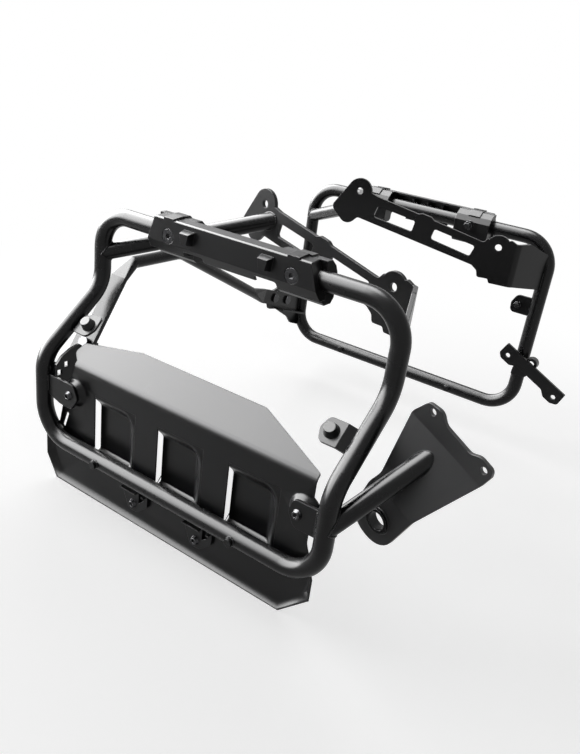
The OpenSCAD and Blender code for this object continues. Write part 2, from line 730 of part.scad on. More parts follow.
foot_hole_1 = [13.5, 16.3];
foot_hole_2 = foot_hole_1 + foot_hole_pitch * [cos(2.7), -sin(2.7)];
foot_end = [30, -104.4];
foot_end_r = 23;
foot_ring_at = [34.5, -100];
foot_ring_r = ring_bore_d / 2 + 3;
foot_outline = rounded([[-2, 0, 0], [-1, 4, 2], [6, 20.5, 6], [20, 23.6, 8], [28.5, 16, 8],
    [57, 14.8, 8], [65, 20.4, 8], [79, 19.6, 5], [81, 13, 3], [79.2, 0, 0],
    [60, foot_low_fold[0], 3], [foot_end[0] + foot_end_r, foot_end[1] - foot_end_r, foot_end_r - 0.5],
    [foot_end[0] - foot_end_r, foot_end[1] - foot_end_r, foot_end_r - 0.5], [8, -76, 12], [11.5, -60, 12]]);
module foot_plate() {
    color(paint) difference() {
        foot_frame() intersection() {
            foot_sheet();
            translate([0, 0, -50]) linear_extrude(100) polygon(foot_outline);
        }
        foot_frame() for (h = [foot_hole_1, foot_hole_2])
            translate([h[0], h[1], -20]) cylinder(h = 40, d = foot_hole_d);
        foot_ring_place() translate([0, 0, -20]) cylinder(h = 40, r = foot_ring_r);
    }
}
// The ring stands square to the lower flange, its origin on the flange's outer face
module foot_ring_place() {
    drop = (foot_ring_at[1] - foot_low_fold[0]) * tan(foot_lean);
    foot_frame() translate([foot_ring_at[0], foot_ring_at[1], foot_low_fold[1] + drop])
        rotate([foot_lean, 0, 0]) children();
}
foot_ring_proud = 3;
foot_ring_len = foot_t + 2 * foot_ring_proud;
module foot_ring() {
    color(paint) foot_ring_place() translate([0, 0, foot_ring_proud - foot_ring_len]) difference() {
        cylinder(h = foot_ring_len, r = foot_ring_r);
        translate([0, 0, -1]) cylinder(h = foot_ring_len + 2, d = ring_bore_d);
    }
}

support_start = [half_w, -joggle_out, support_z];
support_end = foot_origin + foot_along * 31.5
    + 30 * (foot_out * sin(foot_dip) - foot_up * cos(foot_dip));
support_dir = unit(support_end - support_start);
module support_tube() {
    color(paint) difference() {
        rod(support_start, support_end + support_dir * 30, tube_r);
        rod(support_start + support_dir * eps, support_end + support_dir * 40, tube_r - tube_wall);
        closed_run(right_path, bend_r, tube_r);
        foot_frame() rotate([-foot_dip, 0, 0]) translate([-100, -200, -200]) cube([300, 400, 200]);
    }
}

// Cross-brace: a tube from the right rear bracket to the left one, its ends flattened
brace_x = -178;
near_bend = [brace_x, 31, 174];
mid_bend = [brace_x, 120.5, 174];
far_bend = [brace_x, 289, 88];
near_dir = unit([0, -0.55, -0.835]);
far_dir = unit([0, 0.962, -0.273]);
mid_dir = unit(far_bend - mid_bend);
cross_r = cross_d / 2;
near_strap_len = 136;
far_strap_len = 91;
strap_end_len = 12;
near_bolt_pitch = 24;
near_bolts = [near_strap_len - strap_end_len - near_bolt_pitch, near_strap_len - strap_end_len];
far_bolts = [far_strap_len - strap_end_len - brace_bolt_pitch, far_strap_len - strap_end_len];
flat_len = 16;
module strap(origin, d, side, from, to) {
    aligned(origin + d * from, d, side)
        translate([0, -strap_w / 2, -strap_t / 2]) cube([to - from, strap_w, strap_t]);
}
module brace_bolt_row(origin, d, side, places, r, from, to) {
    for (s = places) pointing(origin + d * s, side) translate([0, 0, from]) cylinder(h = to - from, r = r);
}
near_face = cross(near_dir, FORWARD);
far_side = cross(FORWARD, far_dir);
flat_skin = 0.05;
module flattening(tube_end, tube_axis, strap_end, d, side) {
    hull() {
        rod(tube_end - tube_axis * 3, tube_end, cross_r - flat_skin);
        aligned(strap_end, d, side) translate([0, -strap_w / 2 + flat_skin, -strap_t / 2 + flat_skin])
            cube([2, strap_w - 2 * flat_skin, strap_t - 2 * flat_skin]);
    }
}
module cross_brace() {
    tube_from = near_bend + INBOARD * 10;
    tube_to = far_bend - mid_dir * 10;
    color(paint) difference() {
        union() {
            open_run([tube_from, mid_bend, tube_to], 34, cross_r);
            flattening(tube_from, -INBOARD, near_bend + near_dir * flat_len, near_dir, FORWARD);
            flattening(tube_to, mid_dir, far_bend + far_dir * flat_len, far_dir, far_side);
            strap(near_bend, near_dir, FORWARD, flat_len, near_strap_len);
            strap(far_bend, far_dir, far_side, flat_len, far_strap_len);
        }
        brace_bolt_row(near_bend, near_dir, near_face, near_bolts, brace_bolt_d / 2, -20, 20);
        brace_bolt_row(far_bend, far_dir, FORWARD, far_bolts, brace_bolt_d / 2, -20, 20);
    }
}

// Bracket on the right rear upright: a web beside the strap with a ledge under it
web_t = 3;
web_x = brace_x + strap_w / 2 + 1.5;
web_from = tab_t - tab_front;
ledge_gap = 0.2;
ledge_side = strap_w / 2 + 1.5 + web_t / 2;
ledge_outline = rounded([[87, -24, 6], [87, -13, 2], [102, -9, 2], [104, ledge_side, 0],
    [near_strap_len, ledge_side, 0], [near_strap_len, -12, 6], [116, -24, 6]]);
module brace_bracket_right() {
    color(paint) difference() {
        union() {
            aligned([web_x, -joggle_out, 0], INBOARD, UP) linear_extrude(web_t)
                polygon(rounded([[web_from, 54, 0], [web_from, 84.5, 0], [8.4, 92.5, 8], [19.4, 98.4, 8],
                    [31.5, 102, 5], [42, 90, 8], [51, 76, 4], [34, 48, 4], [14, 46, 4]]));
            aligned(near_bend - near_face * (strap_t / 2 + web_t + ledge_gap), near_dir, FORWARD)
                linear_extrude(web_t) polygon(ledge_outline);
            translate([-half_w + 2, -joggle_out + 4, 54]) cube([web_x + half_w - 1, web_t, 30]);
        }
        closed_run(right_path, bend_r, tube_r);
        for (h = [[14.8, 82.6], [5.6, 75.4]])
            translate([web_x - 5, -joggle_out + h[0] - 3, h[1] - 3]) cube([20, 6, 6]);
        brace_bolt_row(near_bend, near_dir, near_face, near_bolts, brace_bolt_d / 2, -20, 20);
    }
}

// Bracket on the left rear upright, behind the brace's other end
plate_gap = 0.1;
left_plate_x = brace_x - strap_t / 2 - web_t - plate_gap;
module brace_bracket_left() {
    color(paint) difference() {
        union() {
            aligned([left_plate_x, 0, 0], INBOARD, UP) linear_extrude(web_t)
                polygon(rounded([[0, 12, 0], [26, 21, 6], [38, 34, 4], [52, 42, 4], [72, 54, 4], [92, 58, 6],
                    [98, 74, 8], [90, 84, 8], [56, 92, 8], [0, 92, 0]]));
            aligned([left_plate_x, 0, 0], INBOARD, UP) linear_extrude(14)
                polygon([[4, 33.5], [68, 52], [68, 55], [4, 36.5]]);
        }
        closed_run(left_path, bend_r, tube_r);
        translate([0, frame_gap, 0]) mirror([0, 1, 0])
            brace_bolt_row(far_bend, far_dir, FORWARD, far_bolts, brace_bolt_d / 2 + 0.3, -30, 30);
    }
}
brace_nut_h = 6.5;
bolt_tip = -strap_t / 2 - web_t - ledge_gap - brace_nut_h - 2.5;
bolt_head_r = 6.5;
near_head_h = 5;
far_head_h = 3;
module brace_bolts() {
    color(zinc) {
        brace_bolt_row(near_bend, near_dir, near_face, near_bolts, brace_bolt_d / 2,
            bolt_tip, strap_t / 2 + eps);
        brace_bolt_row(near_bend, near_dir, near_face, near_bolts, bolt_head_r, strap_t / 2,
            strap_t / 2 + near_head_h);
        brace_bolt_row(far_bend, far_dir, FORWARD, far_bolts, brace_bolt_d / 2, bolt_tip, strap_t / 2 + eps);
        brace_bolt_row(far_bend, far_dir, FORWARD, far_bolts, bolt_head_r, strap_t / 2,
            strap_t / 2 + far_head_h);
    }
}
module nut_row(origin, d, side, places, at) {
    for (s = places) pointing(origin + d * s, side) translate([0, 0, at - brace_nut_h]) difference() {
        cylinder(h = brace_nut_h, d = 14.5, $fn = 6);
        translate([0, 0, -1]) cylinder(h = brace_nut_h + 2, d = brace_bolt_d);
    }
}
module brace_nuts() {
    color(zinc) {
        nut_row(near_bend, near_dir, near_face, near_bolts, -strap_t / 2 - web_t - ledge_gap);
        nut_row(far_bend, far_dir, FORWARD, far_bolts, -strap_t / 2 - web_t - plate_gap);
    }
}

// Left arm: a bar across the front upright with a hole at each end
arm_hole = [165.4, 16, 80];
arm_drop = 26.9;
arm_pitch = 80;
arm_t = 4;
arm_hole_d = 6.5;
arm_bar_outline = rounded([[-10.5, 13, 1], [arm_pitch + 9, 13, 1], [arm_pitch + 10.5, -4, 4],
    [arm_pitch + 2, -9, 5], [arm_pitch - 10, -9, 5], [arm_pitch - 18, -3, 5],
    [18, -3, 5], [10, -9, 5], [-5, -9, 5], [-11, -4, 4]]);
module left_arm() {
    color(paint) translate(arm_hole) rotate([0, arm_drop, 0]) difference() {
        upright_sheet(arm_bar_outline, arm_t);
        for (x = [0, arm_pitch])
            translate([x, 20, 0]) rotate([90, 0, 0]) cylinder(h = 40, d = arm_hole_d);
    }
}

// Lug that joins the arm to the upright, with a bore in its round end
lug_end = [197, 76.5];
lug_end_r = 8.2;
lug_bore_d = 8.5;
lug_t = 10;
lug_outline = rounded([[174, 54, 3], [194, 56.5, 4], [204.6, 73.8, 0], [193, 83.4, 0], [175, 66, 4]]);
module left_arm_lug() {
    lug_face = arm_hole[1] - arm_t / 2;
    color(paint) difference() {
        union() {
            translate([0, lug_face - lug_t / 2, 0]) upright_sheet(lug_outline, lug_t);
            translate([lug_end[0], lug_face, lug_end[1]]) rotate([90, 0, 0]) cylinder(h = lug_t, r = lug_end_r);
        }
        translate([lug_end[0], lug_face + 5, lug_end[1]]) rotate([90, 0, 0])
            cylinder(h = lug_t + 10, d = lug_bore_d);
        closed_run(left_path, bend_r, tube_r);
    }
}

right_side() hoop(right_path, -joggle_out);  // hoop_right
left_side() hoop(left_path, 0);  // hoop_left
right_side() hook_pins(-joggle_out, 0);  // hook_pins_right
left_side() hook_pins(0, pin_out);  // hook_pins_left
right_side() upper_bracket();  // upper_bracket_right
left_side() upper_bracket();  // upper_bracket_left
right_side() brace_tube();  // brace_tube_right
left_side() brace_tube();  // brace_tube_left
right_side() rail_cover();  // rail_cover_right
left_side() rail_cover();  // rail_cover_left
right_side() clamp_block(1);  // clamp_front_right
right_side() clamp_block(-1);  // clamp_rear_right
left_side() clamp_block(1);  // clamp_front_left
left_side() clamp_block(-1);  // clamp_rear_left
right_side() clamp_screws();  // clamp_screws_right
left_side() clamp_screws();  // clamp_screws_left
right_side() clamp_washers();  // clamp_washers_right
left_side() clamp_washers();  // clamp_washers_left
right_side() clamp_nuts();  // clamp_nuts_right
left_side() clamp_nuts();  // clamp_nuts_left
right_side() heat_shield();
right_side() shield_tab(upper_tab_outline, screw_spots[0]);  // shield_tab_rear
right_side() shield_tab(front_tab_outline, screw_spots[1]);  // shield_tab_front
right_side() low_tab(low_spots[0]);  // shield_low_tab_rear
right_side() low_tab(low_spots[1]);  // shield_low_tab_front
right_side() shield_screws();
right_side() shield_nuts();
right_side() stud_tab_rear();
right_side() stud_tab_front();
left_side() stud_tab_left();
right_side() sloped(rear_stud_x) rubber_stud();  // rubber_stud_rear
right_side() sloped(front_stud_x) rubber_stud();  // rubber_stud_front
left_side() left_stud_place() rubber_stud();  // rubber_stud_left
union() {  // stud_nuts
    color(zinc) right_side() sloped(rear_stud_x) stud_nut();
    color(zinc) right_side() sloped(front_stud_x) stud_nut();
    color(zinc) left_side() left_stud_place() stud_nut();
}
right_side() support_tube();
right_side() foot_plate();
right_side() foot_ring();
right_side() brace_bracket_right();
left_side() brace_bracket_left();
right_side() cross_brace();
right_side() brace_bolts();
right_side() brace_nuts();
left_side() left_arm();
left_side() left_arm_lug();
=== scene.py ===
"""Pannier frames: finishes, weld beads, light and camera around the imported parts."""
import math

import bpy
from mathutils import Matrix, Quaternion, Vector


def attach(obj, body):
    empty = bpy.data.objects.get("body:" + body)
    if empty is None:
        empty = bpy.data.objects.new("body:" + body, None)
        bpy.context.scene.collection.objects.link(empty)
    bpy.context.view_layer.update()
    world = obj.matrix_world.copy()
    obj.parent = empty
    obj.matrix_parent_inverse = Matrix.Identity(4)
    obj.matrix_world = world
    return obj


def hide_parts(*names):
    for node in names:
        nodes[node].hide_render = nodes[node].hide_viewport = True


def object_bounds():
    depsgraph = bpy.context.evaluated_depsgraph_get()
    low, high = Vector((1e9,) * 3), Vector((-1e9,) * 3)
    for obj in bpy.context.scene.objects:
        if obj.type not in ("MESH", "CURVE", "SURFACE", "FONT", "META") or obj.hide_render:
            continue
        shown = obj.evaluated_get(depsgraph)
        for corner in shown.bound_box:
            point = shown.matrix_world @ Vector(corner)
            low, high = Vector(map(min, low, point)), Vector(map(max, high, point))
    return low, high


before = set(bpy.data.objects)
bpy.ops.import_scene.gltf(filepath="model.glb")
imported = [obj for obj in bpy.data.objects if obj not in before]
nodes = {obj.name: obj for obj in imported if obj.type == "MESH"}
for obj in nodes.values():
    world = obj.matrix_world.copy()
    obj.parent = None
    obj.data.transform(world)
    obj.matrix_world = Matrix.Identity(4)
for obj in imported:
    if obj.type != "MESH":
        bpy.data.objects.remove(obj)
cad_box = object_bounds()

MM = 0.001
TUBE_R = 9.0
HALF_W = 181.0
JOGGLE_OUT = 78.0
SIDE_ORIGIN = Vector((48.7, -107.5, -262.4))
FRAME_GAP = 418.0


# Places

def right_place(p):
    """A point in the right side's own millimetres, in the frame's metres."""
    return (Vector(p) + SIDE_ORIGIN) * MM


def left_place(p):
    """The same for the left side, whose inboard direction is -Y."""
    p = Vector(p)
    return Vector((p.x + SIDE_ORIGIN.x, FRAME_GAP + SIDE_ORIGIN.y - p.y, p.z + SIDE_ORIGIN.z)) * MM


def along(a, b, steps):
    """Points evenly spaced from a to b."""
    a, b = Vector(a), Vector(b)
    return [a.lerp(b, i / (steps - 1)) for i in range(steps)]


# Finishes

def wire(tree, kind, place=(0, 0), **settings):
    """A node with its properties set."""
    node = tree.nodes.new(kind)
    node.location = place
    for name, value in settings.items():
        setattr(node, name, value)
    return node


def new_group(name, inputs, outputs):
    """An empty shader group with float or colour sockets."""
    group = bpy.data.node_groups.new(name, "ShaderNodeTree")
    for label, kind, value in inputs:
        socket = group.interface.new_socket(name=label, in_out="INPUT", socket_type=kind)
        if value is not None:
            socket.default_value = value
    for label, kind in outputs:
        group.interface.new_socket(name=label, in_out="OUTPUT", socket_type=kind)
    return group, wire(group, "NodeGroupInput", (-900, 0)), wire(group, "NodeGroupOutput", (900, 0))


def build_skin_group():
    """The pebbled skin of a sprayed or moulded surface: colour, roughness and relief that vary."""
    group, given, made = new_group(
        "surface skin",
        [("Tone", "NodeSocketColor", (0.02, 0.02, 0.02, 1.0)),
         ("Dust Tone", "NodeSocketColor", (0.05, 0.05, 0.05, 1.0)),
         ("Pebble Scale", "NodeSocketFloat", 900.0),
         ("Cloud Scale", "NodeSocketFloat", 22.0),
         ("Roughness", "NodeSocketFloat", 0.35),
         ("Roughness Spread", "NodeSocketFloat", 0.06),
         ("Dust", "NodeSocketFloat", 0.15)],
        [("Color", "NodeSocketColor"), ("Roughness", "NodeSocketFloat"), ("Height", "NodeSocketFloat")])
    links = group.links
    coord = wire(group, "ShaderNodeTexCoord", (-900, 300))
    pebble = wire(group, "ShaderNodeTexNoise", (-600, 300))
    pebble.inputs["Detail"].default_value = 2.0
    cloud = wire(group, "ShaderNodeTexNoise", (-600, 0))
    cloud.inputs["Detail"].default_value = 4.0
    cloud.inputs["Roughness"].default_value = 0.6
    links.new(coord.outputs["Object"], pebble.inputs["Vector"])
    links.new(coord.outputs["Object"], cloud.inputs["Vector"])
    links.new(given.outputs["Pebble Scale"], pebble.inputs["Scale"])
    links.new(given.outputs["Cloud Scale"], cloud.inputs["Scale"])
    # dust gathers in soft patches
    patch = wire(group, "ShaderNodeMapRange", (-300, 0))
    patch.inputs["From Min"].default_value = 0.38
    patch.inputs["From Max"].default_value = 0.75
    links.new(cloud.outputs["Fac"], patch.inputs["Value"])
    dusty = wire(group, "ShaderNodeMath", (-80, 0), operation="MULTIPLY")
    links.new(patch.outputs["Result"], dusty.inputs[0])
    links.new(given.outputs["Dust"], dusty.inputs[1])
    tone = wire(group, "ShaderNodeMix", (200, 200), data_type="RGBA")
    links.new(dusty.outputs[0], tone.inputs["Factor"])
    links.new(given.outputs["Tone"], tone.inputs["A"])
    links.new(given.outputs["Dust Tone"], tone.inputs["B"])
    links.new(tone.outputs["Result"], made.inputs["Color"])
    # roughness swings about its middle value
    centred = wire(group, "ShaderNodeMath", (-80, -200), operation="SUBTRACT")
    centred.inputs[1].default_value = 0.5
    links.new(cloud.outputs["Fac"], centred.inputs[0])
    swing = wire(group, "ShaderNodeMath", (120, -200), operation="MULTIPLY_ADD")
    links.new(centred.outputs[0], swing.inputs[0])
    links.new(given.outputs["Roughness Spread"], swing.inputs[1])
    links.new(given.outputs["Roughness"], swing.inputs[2])
    links.new(swing.outputs[0], made.inputs["Roughness"])
    links.new(pebble.outputs["Fac"], made.inputs["Height"])
    return group


def build_thin_coat_and_highlight_group():
    """Thin coat and painted highlight along sharp edges: a lighter tone, mixed in by a mask from how far the
    rounded normal leans from the flat one.
    """
    group, given, made = new_group(
        "thin coat and painted highlight at edges",
        [("Rounded Normal", "NodeSocketVector", None), ("Base", "NodeSocketColor", (0.02, 0.02, 0.02, 1.0)),
         ("Thin Coat And Highlight Tone", "NodeSocketColor", (0.09, 0.09, 0.095, 1.0)), ("Amount", "NodeSocketFloat", 0.6)],
        [("Color", "NodeSocketColor")])
    links = group.links
    flat = wire(group, "ShaderNodeNewGeometry", (-700, 200))
    lean = wire(group, "ShaderNodeVectorMath", (-450, 150), operation="DOT_PRODUCT")
    links.new(given.outputs["Rounded Normal"], lean.inputs[0])
    links.new(flat.outputs["Normal"], lean.inputs[1])
    # where the edge mask rises, a lighter tone is mixed in: a thinner coat there, and a painted highlight
    mask = wire(group, "ShaderNodeMapRange", (-200, 150))
    mask.inputs["From Min"].default_value = 0.995
    mask.inputs["From Max"].default_value = 0.82
    links.new(lean.outputs["Value"], mask.inputs["Value"])
    share = wire(group, "ShaderNodeMath", (50, 150), operation="MULTIPLY")
    links.new(mask.outputs["Result"], share.inputs[0])
    links.new(given.outputs["Amount"], share.inputs[1])
    tone = wire(group, "ShaderNodeMix", (300, 150), data_type="RGBA")
    links.new(share.outputs[0], tone.inputs["Factor"])
    links.new(given.outputs["Base"], tone.inputs["A"])
    links.new(given.outputs["Thin Coat And Highlight Tone"], tone.inputs["B"])
    links.new(tone.outputs["Result"], made.inputs["Color"])
    return group


SKIN = build_skin_group()
THIN_COAT_AND_HIGHLIGHT = build_thin_coat_and_highlight_group()


DUST = 0.2
PEBBLE_DEPTH = 0.0002
ROUNDING_SAMPLES = 6


def finish(name, tone, dust_tone, pebble_scale, roughness, relief, edge_radius=0.0006, thin_coat_and_highlight_tone=None,
           thin_coat_and_highlight_amount=0.5, metallic=0.0, specular=0.5, spread=0.08):
    """One finish: the shared skin, softened edges with a lighter tone along them (thinner coat and a painted
    highlight) and a Principled shader with its own values.
    """
    material = bpy.data.materials.new(name)
    material.use_nodes = True
    tree = material.node_tree
    shader = tree.nodes["Principled BSDF"]
    skin = wire(tree, "ShaderNodeGroup", (-700, 200), node_tree=SKIN)
    skin.inputs["Tone"].default_value = (*tone, 1.0)
    skin.inputs["Dust Tone"].default_value = (*dust_tone, 1.0)
    skin.inputs["Pebble Scale"].default_value = pebble_scale
    skin.inputs["Roughness"].default_value = roughness
    skin.inputs["Roughness Spread"].default_value = spread
    skin.inputs["Dust"].default_value = DUST
    rounded = wire(tree, "ShaderNodeBevel", (-700, -200), samples=ROUNDING_SAMPLES)
    rounded.inputs["Radius"].default_value = edge_radius
    bump = wire(tree, "ShaderNodeBump", (-350, -200))
    bump.inputs["Strength"].default_value = relief
    bump.inputs["Distance"].default_value = PEBBLE_DEPTH
    tree.links.new(skin.outputs["Height"], bump.inputs["Height"])
    tree.links.new(rounded.outputs["Normal"], bump.inputs["Normal"])
    tree.links.new(bump.outputs["Normal"], shader.inputs["Normal"])
    # along sharp edges a lighter tone is mixed in: a thinner coat there, and a painted highlight
    edge = wire(tree, "ShaderNodeGroup", (-350, 300), node_tree=THIN_COAT_AND_HIGHLIGHT)
    edge.inputs["Amount"].default_value = thin_coat_and_highlight_amount
    edge.inputs["Thin Coat And Highlight Tone"].default_value = (*(thin_coat_and_highlight_tone or dust_tone), 1.0)
    tree.links.new(rounded.outputs["Normal"], edge.inputs["Rounded Normal"])
    tree.links.new(skin.outputs["Color"], edge.inputs["Base"])
    tree.links.new(edge.outputs["Color"], shader.inputs["Base Color"])
    tree.links.new(skin.outputs["Roughness"], shader.inputs["Roughness"])
    shader.inputs["Metallic"].default_value = metallic
    shader.inputs["Specular IOR Level"].default_value = specular
    return material


powder_coat = finish("satin black powder coat", (0.004, 0.004, 0.0043), (0.008, 0.008, 0.0084), 1100.0,
                     0.27, 0.03, thin_coat_and_highlight_tone=(0.03, 0.03, 0.032), specular=0.18)
sheet_coat = finish("satin coat on folded sheet", (0.004, 0.004, 0.0043), (0.008, 0.008, 0.0084), 1300.0,
                    0.29, 0.04, edge_radius=0.0008, thin_coat_and_highlight_tone=(0.04, 0.04, 0.042), specular=0.18)
shield_coat = finish("satin coat on pressed shield", (0.004, 0.004, 0.0043), (0.008, 0.008, 0.0084), 1300.0,
                     0.29, 0.03, edge_radius=0.0014, thin_coat_and_highlight_amount=0.0, specular=0.18)
# The foot plate's tone is about ten times the other coats' black. This is painted light: a lighter copy of the
# same coat, standing in for the grey sheen on the plate's face.
foot_coat_painted_lighter = finish("satin coat on foot plate painted lighter", (0.042, 0.042, 0.0435), (0.052, 0.052, 0.0535), 1300.0,
                   0.32, 0.04, edge_radius=0.0008, thin_coat_and_highlight_tone=(0.05, 0.05, 0.052), specular=0.24)
moulded_black = finish("fine-grained black moulding", (0.006, 0.006, 0.0064), (0.01, 0.01, 0.0105), 2600.0,
                       0.3, 0.2, edge_radius=0.0009, thin_coat_and_highlight_tone=(0.03, 0.03, 0.032), spread=0.05,
                       specular=0.16)
# The fasteners' bright edge tone is a painted glint along their edges.
dark_zinc = finish("black-passivated steel", (0.03, 0.03, 0.032), (0.02, 0.02, 0.021), 700.0,
                   0.24, 0.06, edge_radius=0.0004, thin_coat_and_highlight_tone=(0.2, 0.2, 0.205), thin_coat_and_highlight_amount=0.6, metallic=0.7)
stud_rubber = finish("smooth black rubber", (0.009, 0.009, 0.009), (0.016, 0.016, 0.016), 1800.0,
                     0.38, 0.15, edge_radius=0.0012, thin_coat_and_highlight_tone=(0.02, 0.02, 0.02), spread=0.05, specular=0.25)
weld_coat = finish("powder coat over weld", (0.006, 0.006, 0.0065), (0.011, 0.011, 0.0115), 800.0,
                   0.3, 0.2, thin_coat_and_highlight_tone=(0.03, 0.03, 0.032), specular=0.18)

FASTENERS = ("clamp_screws", "clamp_washers", "clamp_nuts", "shield_screws", "shield_nuts", "stud_nuts",
             "brace_bolts", "brace_nuts")
MOULDINGS = ("rail_cover", "clamp_front", "clamp_rear")
SHEETS = ("upper_bracket", "brace_bracket", "shield_tab", "shield_low_tab", "stud_tab", "left_arm")


def finish_of(name):
    """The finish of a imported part, by its name."""
    if name.startswith(FASTENERS):
        return dark_zinc
    if name.startswith(MOULDINGS):
        return moulded_black
    if name == "heat_shield":
        return shield_coat
    if name == "foot_plate":
        return foot_coat_painted_lighter
    if name.startswith("rubber_stud"):
        return stud_rubber
    if name.startswith(SHEETS):
        return sheet_coat
    return powder_coat


for name, part in nodes.items():
    part.data.materials.clear()
    part.data.materials.append(finish_of(name))


# Weld beads

def clear_selection():
    """Deselect everything, because an operator acts on all that is selected."""
    bpy.ops.object.select_all(action="DESELECT")


def adopt(piece, name, material):
    """Name, finish and ride a finished piece."""
    piece.name = name
    piece.data.name = name
    piece.data.materials.clear()
    piece.data.materials.append(material)
    clear_selection()
    piece.select_set(True)
    bpy.context.view_layer.objects.active = piece
    bpy.ops.object.mode_set(mode="EDIT")
    bpy.ops.mesh.select_all(action="SELECT")
    bpy.ops.mesh.normals_make_consistent(inside=False)
    bpy.ops.object.mode_set(mode="OBJECT")
    bpy.ops.object.shade_smooth()
    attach(piece, "root")


BEAD_R = 1.1
SLIM_BEAD = 0.6
PIN_BEAD = 0.9
PLATE_BEAD = 1.2
RIPPLE = 0.14
RIPPLE_PITCH = 2.6
RINGS_PER_RIPPLE = 4


def frame_on(path, s):
    """The point and tangent at share s of a path of points."""
    x = min(max(s, 0.0), 1.0) * (len(path) - 1)
    i = min(int(x), len(path) - 2)
    return path[i].lerp(path[i + 1], x - i), (path[i + 1] - path[i]).normalized()


def weld_seam(name, path, width=BEAD_R):
    """A bead along an open path of points in metres, with the weld pool's ripples."""
    length = sum((path[i + 1] - path[i]).length for i in range(len(path) - 1)) / MM
    rings = max(12, int(length / RIPPLE_PITCH * RINGS_PER_RIPPLE))
    clear_selection()
    bpy.ops.mesh.primitive_uv_sphere_add(segments=10, ring_count=rings, radius=1.0)
    piece = bpy.context.object
    cap = width / length
    for v in piece.data.vertices:
        share = (1.0 - math.acos(max(-1.0, min(1.0, v.co.z))) / math.pi)
        flat = Vector((v.co.x, v.co.y))
        spread = flat.length
        angle = math.atan2(flat.y, flat.x)
        centre, tangent = frame_on(path, share)
        side = tangent.orthogonal().normalized()
        other = tangent.cross(side)
        end = min(1.0, min(share, 1.0 - share) / cap)
        girth = width * math.sqrt(max(0.0, 1.0 - (1.0 - end) ** 2))
        girth *= 1.0 + RIPPLE * math.sin(2 * math.pi * share * length / RIPPLE_PITCH)
        if spread < 1e-5:
            girth = 0.0
        v.co = centre + (side * math.cos(angle) + other * math.sin(angle)) * girth * MM
    adopt(piece, name, weld_coat)


def weld_ring(name, centre, axis, radius, lift, width=BEAD_R):
    """A bead round a tube: each point of the ring is lifted along the axis to meet the other part."""
    axis = axis.normalized()
    turned = axis.to_track_quat("Z", "Y")
    clear_selection()
    bpy.ops.mesh.primitive_torus_add(major_segments=72, minor_segments=10, major_radius=radius * MM,
                                     minor_radius=width * MM)
    piece = bpy.context.object
    ripples = round(2 * math.pi * radius / RIPPLE_PITCH)
    for v in piece.data.vertices:
        angle = math.atan2(v.co.y, v.co.x)
        middle = Vector((math.cos(angle), math.sin(angle), 0.0)) * radius * MM
        offset = (v.co - middle) * (1.0 + RIPPLE * math.sin(ripples * angle))
        around = turned @ Vector((math.cos(angle), math.sin(angle), 0.0))
        v.co = centre + turned @ (middle + offset) + axis * lift(around) * MM
    adopt(piece, name, weld_coat)


def lift_to_tube(start, axis, radius, tube_point, tube_axis, tube_radius=TUBE_R):
    """How far along its axis a ring's point goes to reach the outside of a tube, in millimetres."""
    axis = axis.normalized()
    tube_axis = tube_axis.normalized()
    across = axis - tube_axis * axis.dot(tube_axis)

    def lift(around):
        p = start + around * radius - tube_point
        p = p - tube_axis * p.dot(tube_axis)
        a, b, c = across.dot(across), p.dot(across), p.dot(p) - tube_radius ** 2
        return (-b + math.sqrt(max(0.0, b * b - a * c))) / a
    return lift


def lift_to_plane(start, axis, radius, plane_point, normal):
    """The same to a flat face."""
    axis = axis.normalized()

    def lift(around):
        return (plane_point - start - around * radius).dot(normal) / axis.dot(normal)
    return lift


def mirrored(v):
    """A side direction on the left side."""
    return Vector((v.x, -v.y, v.z))


PLATE_ANGLE = math.radians(11.8)
REAR_HOLE = Vector((-48.7, 107.5, 262.4))
BRACE_HEIGHT, TARGET_ALONG, TARGET_BELOW = 191.2, 10.1, 15.8
PLATE_HALF_T = 2.0
BRACE_START = Vector((-HALF_W, 0.0, BRACE_HEIGHT))
BRACE_TARGET = REAR_HOLE + Vector((TARGET_ALONG * math.cos(PLATE_ANGLE), -TARGET_ALONG * math.sin(PLATE_ANGLE),
                                   -TARGET_BELOW))
BRACE_DIR = (BRACE_TARGET - BRACE_START).normalized()
PLATE_NORMAL = Vector((math.sin(PLATE_ANGLE), math.cos(PLATE_ANGLE), 0.0))
PLATE_FACE = REAR_HOLE - PLATE_NORMAL * PLATE_HALF_T
UP = Vector((0.0, 0.0, 1.0))
FORWARD = Vector((1.0, 0.0, 0.0))
INBOARD = Vector((0.0, 1.0, 0.0))

# The bracket's folded arm, seen from above: the way it runs and the way its faces look
ARM_DIR = Vector((0.3502, -0.9367, 0.0))
ARM_FACE = Vector((0.9367, 0.3502, 0.0))
ARM_HALF_T = 2.3
ARM_LOW, ARM_HIGH = 174.5, 197.0
SEAM_R = TUBE_R - 0.1
PIN_X, PIN_R = 91.0, 4.2


def side_ring(name, left, start, axis, radius, lift, width=BEAD_R):
    """A ring given in side millimetres, on the right side or mirrored to the left."""
    place = left_place if left else right_place
    turn = mirrored if left else (lambda v: v)
    weld_ring(name, place(start), turn(axis), radius, lambda around: lift(turn(around)), width)


